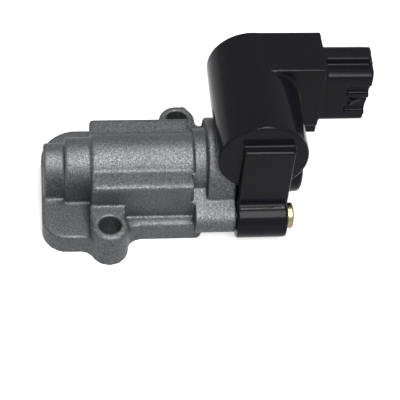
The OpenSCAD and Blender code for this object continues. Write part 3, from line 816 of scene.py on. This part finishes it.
class ValveLook(bpy.types.PropertyGroup):
    """The sizes and colours that a user would change."""

    cast_colour: bpy.props.FloatVectorProperty(
        name="Casting tint",
        description="Tint over the grey of the cast body",
        subtype="COLOR",
        default=(1.0, 1.0, 1.0),
        min=0.0,
        max=1.0,
    )
    grain_size: bpy.props.FloatProperty(
        name="Blast grain",
        description="Size of the grains on the cast skin, drawn coarser than real so that they show",
        default=0.00042,
        min=0.0001,
        max=0.002,
        subtype="DISTANCE",
        unit="LENGTH",
    )
    skin_step: bpy.props.FloatProperty(
        name="Skin step",
        description="Size of the facets of the cast skin, which sets how round its edges are",
        default=0.00036,
        min=0.0003,
        max=0.001,
        subtype="DISTANCE",
        unit="LENGTH",
    )
    nylon_colour: bpy.props.FloatVectorProperty(
        name="Moulding colour",
        description="Colour of the solenoid housing",
        subtype="COLOR",
        default=tuple(linear("#0b0b10")[:3]),
        min=0.0,
        max=1.0,
    )
    mould_step: bpy.props.FloatProperty(
        name="Mould step",
        description="Size of the facets of the solenoid housing, which sets how round its edges are",
        default=0.0003,
        min=0.0002,
        max=0.001,
        subtype="DISTANCE",
        unit="LENGTH",
    )
    bead_edge: bpy.props.FloatProperty(
        name="Bead edge",
        description="Edge radius of the gasket's bead",
        default=0.0006,
        min=0.0001,
        max=0.0008,
        subtype="DISTANCE",
        unit="LENGTH",
    )
    zinc_colour: bpy.props.FloatVectorProperty(
        name="Screw tint",
        description="Tint over the yellow zinc of the cover screws",
        subtype="COLOR",
        default=(1.0, 1.0, 1.0),
        min=0.0,
        max=1.0,
    )
    axis_height: bpy.props.FloatProperty(
        name="Bore height",
        description="Height of the bore's axis over the mounting face, where rings are centred",
        default=0.0153,
        min=0.01,
        max=0.02,
        subtype="DISTANCE",
        unit="LENGTH",
    )
    floor_glow: bpy.props.FloatProperty(
        name="Floor white",
        description="Share of plain white in the floor as the camera sees it",
        default=0.55,
        min=0.0,
        max=1.0,
        subtype="FACTOR",
    )
    fill: bpy.props.FloatProperty(
        name="Fill light",
        description="Strength of the even light from all round",
        default=0.22,
        min=0.0,
        max=2.0,
    )
    key: bpy.props.FloatProperty(
        name="Key light",
        description="Power that the large lamp and the small one overhead take their shares of",
        default=12.5,
        min=0.0,
        max=50.0,
        unit="POWER",
    )


class VALVE_OT_casting(bpy.types.Operator):
    """Cuts and adds the cast body's last forms, softens its edges and gives it its blasted skin"""

    bl_idname = "valve.casting"
    bl_label = "Cast body"

    def execute(self, context):
        look = context.scene.valve_look
        axis = look.axis_height
        skin = working_object("cast_skin", merged_copy("valve_body"))
        cuts = [
            # The block's round top, its near side and the plate beside it stop short of the neck plate.
            over_bore(*BLOCK_END, inner=9.23, outer=11.5, axis_height=axis),
            along_bore(*BLOCK_END, box_section(near=-20.6, far=-14.3, low=7.2, high=13.2)),
            along_bore(*BLOCK_END, box_section(near=-20.7, far=-17.6, low=3.2, high=7.3)),
            # The slit between the block and the neck plate.
            over_bore(*SLIT, inner=8.3, outer=11.7, axis_height=axis),
            along_bore(*SLIT, box_section(near=-20.9, far=-8.15, low=3.35, high=15.55)),
            along_bore(*SLIT, box_section(near=8.15, far=13.8, low=7.25, high=15.55)),
            # The ring starts a little further along, which leaves a step behind the gussets.
            over_bore(*RING_START, inner=10.4, outer=14.6, axis_height=axis),
            along_bore(*RING_START, box_section(near=-13.8, far=-10.4, low=8.15, high=15.35)),
            along_bore(*RING_START, box_section(near=10.4, far=13.8, low=8.15, high=15.35)),
        ]
        for cut in cuts:
            cut_out(skin, cut)
        # The plate's far edge runs on over its notch. The rest is added on both sides of the bore.
        added = [along_bore(*NOTCH, box_section(near=17.5, far=21.9, low=0, high=PLATE_TOP))]
        for side in (-1, 1):
            for reach, section in (
                (GUSSET, GUSSET_SECTION),
                (SHOULDER, SHOULDER_SECTION),
                (LEDGE_END, LEDGE_SECTION),
            ):
                added.append(along_bore(*reach, [(side * y, z) for y, z in section]))
        join_to(skin, added)
        soften(skin, look.skin_step, rim_softness, kept=0.5)
        place_piece(skin, cast_aluminium(look), "housing", "cast_alloy", "valve_body")
        return {"FINISHED"}


class VALVE_OT_moulding(bpy.types.Operator):
    """Softens the edges of the solenoid housing and gives it its black nylon"""

    bl_idname = "valve.moulding"
    bl_label = "Solenoid housing"

    def execute(self, context):
        look = context.scene.valve_look
        shell = working_object("moulded_shell", merged_copy("coil_cover"))
        soften(shell, look.mould_step, mouth_softness, kept=0.45)
        place_piece(shell, black_nylon(look), "housing", "black_moulding", "coil_cover")
        return {"FINISHED"}


class VALVE_OT_seals(bpy.types.Operator):
    """Rounds the bead of the gasket and gives the seals their rubber"""

    bl_idname = "valve.seals"
    bl_label = "Gasket and seals"

    def execute(self, context):
        look = context.scene.valve_look
        rubber = nitrile_rubber()
        dress(["shaft_seal", "cover_o_ring"], rubber)
        bead = rounded_copy("mount_gasket", "gasket_bead", look.bead_edge, segments=4)
        place_piece(bead, rubber, "housing", "black_rubber", "mount_gasket")
        return {"FINISHED"}


class VALVE_OT_rotor(bpy.types.Operator):
    """Finishes the rotary valve, its shaft and the magnet"""

    bl_idname = "valve.rotor"
    bl_label = "Rotor"

    def execute(self, context):
        dress(["rotary_valve"], turned_aluminium(context.scene.valve_look))
        dress(["valve_shaft"], ground_steel())
        dress(["rotor_magnet"], ferrite())
        return {"FINISHED"}


class VALVE_OT_bearings(bpy.types.Operator):
    """Finishes the races and balls of both bearings"""

    bl_idname = "valve.bearings"
    bl_label = "Bearings"

    def execute(self, context):
        races = [f"{end}_bearing_{race}" for end in ("rear", "front") for race in ("outer", "inner")]
        dress(races, bearing_steel(context.scene.valve_look))
        dress(["rear_bearing_balls", "front_bearing_balls"], ball_steel())
        return {"FINISHED"}


class VALVE_OT_stops(bpy.types.Operator):
    """Finishes the stop plate, its lever and the bimetal spiral"""

    bl_idname = "valve.stops"
    bl_label = "Stops and bimetal"

    def execute(self, context):
        dress(["stop_plate", "stop_lever"], zinc_sheet())
        dress(["bimetal_coil"], bimetal_strip())
        return {"FINISHED"}


class VALVE_OT_solenoid(bpy.types.Operator):
    """Finishes the iron, the bobbin, the hub and the winding"""

    bl_idname = "valve.solenoid"
    bl_label = "Solenoid"

    def execute(self, context):
        dress(["core_rod", "near_yoke", "far_yoke"], soft_iron())
        dress(["coil_bobbin", "magnet_hub"], cream_nylon())
        dress(["coil_winding"], enamelled_copper())
        return {"FINISHED"}


class VALVE_OT_terminals(bpy.types.Operator):
    """Finishes the blades in the socket"""

    bl_idname = "valve.terminals"
    bl_label = "Terminals"

    def execute(self, context):
        dress(["terminal_1", "terminal_2", "terminal_3"], tinned_brass())
        return {"FINISHED"}


class VALVE_OT_screws(bpy.types.Operator):
    """Finishes the cover screws"""

    bl_idname = "valve.screws"
    bl_label = "Cover screws"

    def execute(self, context):
        dress(["cover_screw_near", "cover_screw_far"], yellow_zinc(context.scene.valve_look))
        return {"FINISHED"}


class VALVE_OT_stage(bpy.types.Operator):
    """Sets the floor, the world, the lamps and the camera"""

    bl_idname = "valve.stage"
    bl_label = "Stage"

    def execute(self, context):
        look = context.scene.valve_look
        scene = context.scene
        shape = bmesh.new()
        bmesh.ops.create_grid(shape, x_segments=1, y_segments=1, size=FLOOR_HALF)
        floor = working_object("floor", shape)
        floor.location = (0, 0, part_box("valve_body")[0].z - FLOOR_GAP)
        floor.data.materials.append(floor_paper(look))

        world = bpy.data.worlds.new("White room")
        world.use_nodes = True
        tree = world.node_tree
        tree.nodes.clear()
        white = linear("#ffffff")
        fill = add_node(tree, "ShaderNodeBackground", {"Color": white, "Strength": look.fill})
        backdrop = add_node(tree, "ShaderNodeBackground", {"Color": white, "Strength": 1.0})
        room = add_node(
            tree,
            "ShaderNodeMixShader",
            {
                0: background_rays(tree),
                1: fill.outputs["Background"],
                2: backdrop.outputs["Background"],
            },
        )
        add_node(tree, "ShaderNodeOutputWorld", {"Surface": room.outputs["Shader"]})
        scene.world = world

        for name, (place, size, share) in LAMPS.items():
            lamp = bpy.data.lights.new(name, "AREA")
            lamp.shape = "SQUARE"
            lamp.size = size
            lamp.energy = look.key * share
            holder = bpy.data.objects.new(name, lamp)
            holder.location = place
            towards = Vector(LAMP_AIM) - Vector(place)
            holder.rotation_euler = towards.to_track_quat("-Z", "Y").to_euler()
            scene.collection.objects.link(holder)

        lens = bpy.data.cameras.new("photo_camera")
        lens.lens = LENS_MM
        lens.sensor_width = SENSOR_MM
        lens.clip_start = 0.02
        lens.clip_end = 5
        camera = bpy.data.objects.new("photo_camera", lens)
        turn = Matrix((PICTURE_RIGHT, -PICTURE_DOWN, -PICTURE_DEPTH)).transposed()
        camera.rotation_euler = turn.to_euler()
        camera.location = CAMERA_PLACE
        scene.collection.objects.link(camera)
        scene.camera = camera
        scene.view_settings.view_transform = "Standard"
        return {"FINISHED"}


STEPS = (
    VALVE_OT_casting,
    VALVE_OT_moulding,
    VALVE_OT_seals,
    VALVE_OT_rotor,
    VALVE_OT_bearings,
    VALVE_OT_stops,
    VALVE_OT_solenoid,
    VALVE_OT_terminals,
    VALVE_OT_screws,
    VALVE_OT_stage,
)


class VALVE_PT_panel(bpy.types.Panel):
    """The looks of the valve and the steps that make them"""

    bl_idname = "VALVE_PT_panel"
    bl_label = "Idle air control valve"
    bl_space_type = "VIEW_3D"
    bl_region_type = "UI"
    bl_category = "Valve"

    def draw(self, context):
        for name in ValveLook.__annotations__:
            self.layout.prop(context.scene.valve_look, name)
        for step in STEPS:
            self.layout.operator(step.bl_idname)


CLASSES = (ValveLook, *STEPS, VALVE_PT_panel)


def register():
    for item in CLASSES:
        bpy.utils.register_class(item)
    bpy.types.Scene.valve_look = bpy.props.PointerProperty(type=ValveLook)


def unregister():
    del bpy.types.Scene.valve_look
    for item in reversed(CLASSES):
        bpy.utils.unregister_class(item)


def main():
    register()
    for step in STEPS:
        group, action = step.bl_idname.split(".")
        getattr(getattr(bpy.ops, group), action)()


if __name__ == "__main__":
    main()
